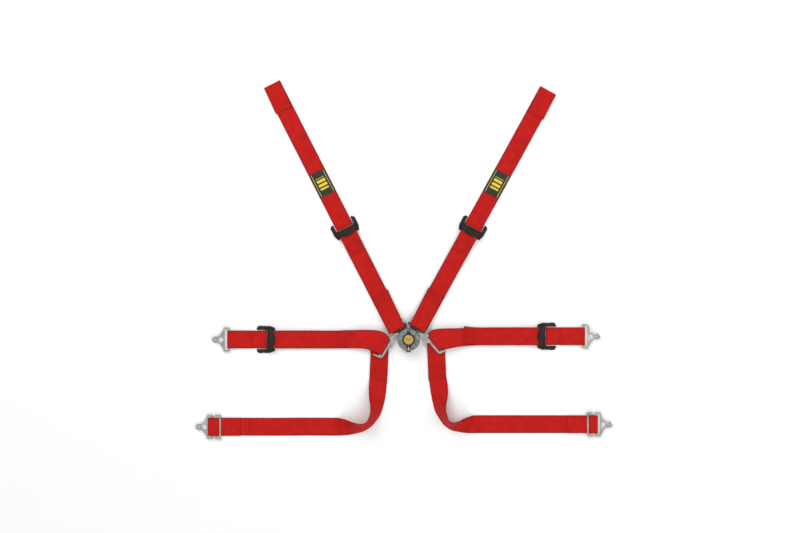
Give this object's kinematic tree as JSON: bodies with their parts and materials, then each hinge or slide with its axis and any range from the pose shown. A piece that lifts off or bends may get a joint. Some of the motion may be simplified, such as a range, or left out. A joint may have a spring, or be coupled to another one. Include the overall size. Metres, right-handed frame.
{
  "type": "racing harness",
  "caption": "Racing harness of flat webbing straps with a rotary buckle, tilting adjusters and bolt-on end brackets, laid out flat.",
  "frame": {"origin": "centre of the buckle's back face, which is also the surface the harness lies on", "axes": "+Z out of the buckle's face, +Y towards the shoulder straps, +X to the right of the harness seen from its face"},
  "size_m": [1.1741, 1.0118, 0.0466],
  "materials": {
    "webbing": "woven polyester webbing",
    "label": "woven satin label",
    "adjuster_black": "black finish, worn at the edges",
    "adjuster_bar": "knurled",
    "plated_steel": "zinc plated",
    "inner_steel": "plain",
    "housing_grey": "satin",
    "screw_black": "black",
    "spring": "spring steel",
    "knob_metal": "bead blasted",
    "bezel_black": "satin",
    "cap_yellow": "gloss",
    "pointer_grey": "satin"
  },
  "bodies": {
    "buckle": {"back_plate": "housing_grey", "back_plate_screws": "screw_black", "tongue_guide": "inner_steel", "housing": "housing_grey", "centre_post": "inner_steel", "return_spring": "spring", "latch_springs": "spring", "left_shoulder_tongue": "plated_steel", "right_shoulder_tongue": "plated_steel", "left_lap_tongue": "plated_steel", "right_lap_tongue": "plated_steel", "left_crotch_rivet": "inner_steel", "right_crotch_rivet": "inner_steel"},
    "knob": {"knob": "knob_metal", "knob_bezel": "bezel_black", "centre_cap": "cap_yellow", "indicator_rivet": "plated_steel", "pointer_insert": "pointer_grey", "cam_plate": "inner_steel"},
    "latch": {"latch_plate": "inner_steel"},
    "left_shoulder_strap": {"left_shoulder_lower_strap": "webbing", "left_shoulder_adjuster_frame": "adjuster_black", "left_shoulder_adjuster_bar": "adjuster_bar"},
    "left_shoulder_lever": {"left_shoulder_adjuster_lever": "adjuster_black"},
    "left_shoulder_upper": {"left_shoulder_upper_strap": "webbing", "left_shoulder_label": "label"},
    "left_lap_strap": {"left_lap_inner_strap": "webbing", "left_lap_adjuster_frame": "adjuster_black", "left_lap_adjuster_bar": "adjuster_bar"},
    "left_lap_lever": {"left_lap_adjuster_lever": "adjuster_black"},
    "left_lap_anchor": {"left_lap_anchor_strap": "webbing"},
    "left_lap_end": {"left_lap_bracket": "plated_steel"},
    "left_crotch": {"left_crotch_link": "plated_steel", "left_crotch_strap": "webbing", "left_crotch_slide": "plated_steel"},
    "left_crotch_end": {"left_crotch_bracket": "plated_steel"},
    "right_shoulder_strap": {"right_shoulder_lower_strap": "webbing", "right_shoulder_adjuster_frame": "adjuster_black", "right_shoulder_adjuster_bar": "adjuster_bar"},
    "right_shoulder_lever": {"right_shoulder_adjuster_lever": "adjuster_black"},
    "right_shoulder_upper": {"right_shoulder_upper_strap": "webbing", "right_shoulder_label": "label"},
    "right_lap_strap": {"right_lap_inner_strap": "webbing", "right_lap_adjuster_frame": "adjuster_black", "right_lap_adjuster_bar": "adjuster_bar"},
    "right_lap_lever": {"right_lap_adjuster_lever": "adjuster_black"},
    "right_lap_anchor": {"right_lap_anchor_strap": "webbing"},
    "right_lap_end": {"right_lap_bracket": "plated_steel"},
    "right_crotch": {"right_crotch_link": "plated_steel", "right_crotch_strap": "webbing", "right_crotch_slide": "plated_steel"},
    "right_crotch_end": {"right_crotch_bracket": "plated_steel"}
  },
  "joints": [
    {"name": "knob_turn", "type": "hinge", "parent": "buckle", "child": "knob", "pos_m": [0, 0, 0.02], "axis": [0, 0, 1], "range_deg": [0, 30], "stiffness_Nm_per_rad": 0.25},
    {"name": "latch_lift", "type": "slide", "parent": "buckle", "child": "latch", "axis": [0, 0, 1], "range_m": [0, 0.0038], "deforming": ["latch_springs"]},
    {"name": "left_shoulder_swing", "type": "hinge", "parent": "buckle", "child": "left_shoulder_strap", "pos_m": [-0.0334, 0.0281, 0.0121], "axis": [0.891, 0.454, 0], "range_deg": [0, 75]},
    {"name": "left_shoulder_lever_tilt", "type": "hinge", "parent": "left_shoulder_strap", "child": "left_shoulder_lever", "pos_m": [-0.17505, 0.30609, 0.0092], "axis": [-0.891, -0.454, 0], "range_deg": [0, 40]},
    {"name": "left_shoulder_length", "type": "slide", "parent": "left_shoulder_strap", "child": "left_shoulder_upper", "axis": [-0.454, 0.891, 0], "range_m": [-0.08, 0.12]},
    {"name": "left_lap_swing", "type": "hinge", "parent": "buckle", "child": "left_lap_strap", "pos_m": [-0.0666, -0.0211, 0.0121], "axis": [0.515, 0.8572, 0], "range_deg": [0, 35]},
    {"name": "left_lap_lever_tilt", "type": "hinge", "parent": "left_lap_strap", "child": "left_lap_lever", "pos_m": [-0.391, -0.001, 0.0092], "axis": [0, -1, 0], "range_deg": [0, 40]},
    {"name": "left_lap_length", "type": "slide", "parent": "left_lap_strap", "child": "left_lap_anchor", "axis": [-1, 0, 0], "range_m": [-0.035, 0.1]},
    {"name": "left_lap_bracket_swing", "type": "hinge", "parent": "left_lap_anchor", "child": "left_lap_end", "pos_m": [-0.5068, -0.001, 0.0042], "axis": [0, 1, 0], "range_deg": [-30, 85]},
    {"name": "left_crotch_swing", "type": "hinge", "parent": "buckle", "child": "left_crotch", "pos_m": [-0.044, 0.007, 0.00395], "axis": [0, 0, 1], "range_deg": [-8, 8]},
    {"name": "left_crotch_bracket_swing", "type": "hinge", "parent": "left_crotch", "child": "left_crotch_end", "pos_m": [-0.5535, -0.247, 0.0042], "axis": [0, 1, 0], "range_deg": [-30, 85]},
    {"name": "right_shoulder_swing", "type": "hinge", "parent": "buckle", "child": "right_shoulder_strap", "pos_m": [0.0266, 0.0335, 0.0121], "axis": [0.8763, -0.4818, 0], "range_deg": [0, 75]},
    {"name": "right_shoulder_lever_tilt", "type": "hinge", "parent": "right_shoulder_strap", "child": "right_shoulder_lever", "pos_m": [0.17691, 0.30691, 0.0092], "axis": [-0.8763, 0.4818, 0], "range_deg": [0, 40]},
    {"name": "right_shoulder_length", "type": "slide", "parent": "right_shoulder_strap", "child": "right_shoulder_upper", "axis": [0.4818, 0.8763, 0], "range_m": [-0.08, 0.12]},
    {"name": "right_lap_swing", "type": "hinge", "parent": "buckle", "child": "right_lap_strap", "pos_m": [0.073, -0.011, 0.0121], "axis": [0.6428, -0.766, 0], "range_deg": [0, 35]},
    {"name": "right_lap_lever_tilt", "type": "hinge", "parent": "right_lap_strap", "child": "right_lap_lever", "pos_m": [0.378, 0.008, 0.0092], "axis": [0, 1, 0], "range_deg": [0, 40]},
    {"name": "right_lap_length", "type": "slide", "parent": "right_lap_strap", "child": "right_lap_anchor", "axis": [1, 0, 0], "range_m": [-0.035, 0.1]},
    {"name": "right_lap_bracket_swing", "type": "hinge", "parent": "right_lap_anchor", "child": "right_lap_end", "pos_m": [0.4928, 0.008, 0.0042], "axis": [0, -1, 0], "range_deg": [-30, 85]},
    {"name": "right_crotch_swing", "type": "hinge", "parent": "buckle", "child": "right_crotch", "pos_m": [0.046, 0.009, 0.00395], "axis": [0, 0, 1], "range_deg": [-8, 8]},
    {"name": "right_crotch_bracket_swing", "type": "hinge", "parent": "right_crotch", "child": "right_crotch_end", "pos_m": [0.5278, -0.24, 0.0042], "axis": [0, -1, 0], "range_deg": [-30, 85]}
  ],
  "couplings": [
    {"joint": "latch_lift", "follows": "knob_turn", "m_per_rad": 0.00725}
  ]
}
